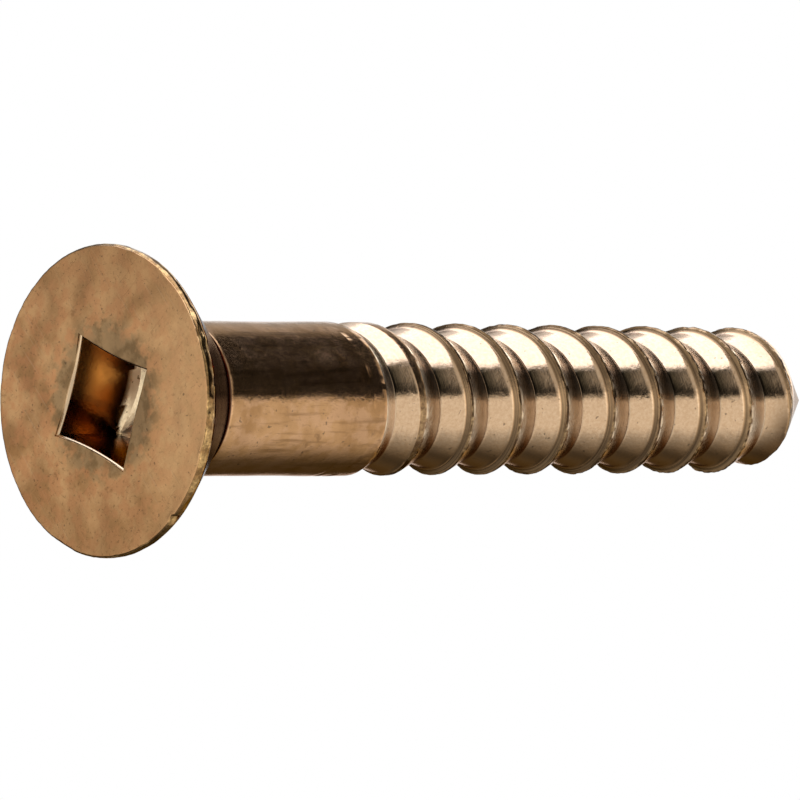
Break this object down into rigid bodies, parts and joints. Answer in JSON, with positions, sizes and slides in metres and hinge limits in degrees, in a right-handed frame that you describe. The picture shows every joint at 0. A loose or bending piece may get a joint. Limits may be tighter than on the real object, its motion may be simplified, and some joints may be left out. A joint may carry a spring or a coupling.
{
  "type": "flat head wood screw",
  "caption": "Bronze wood screw with a countersunk flat head, a square drive recess, a plain shank and a coarse cut thread that runs out on a blunt cone point.",
  "frame": {"origin": "centre of the head's flat face, on the surface that the screw stands on", "axes": "+Z along the screw from the head's face to the point; the flats of the square recess face X and Y"},
  "size_m": [0.0078, 0.0078, 0.0254],
  "materials": {
    "bronze": "tarnished silicon bronze, turned and unplated, with fine tool marks"
  },
  "bodies": {
    "root": {"wood_screw": "bronze"}
  },
  "joints": []
}
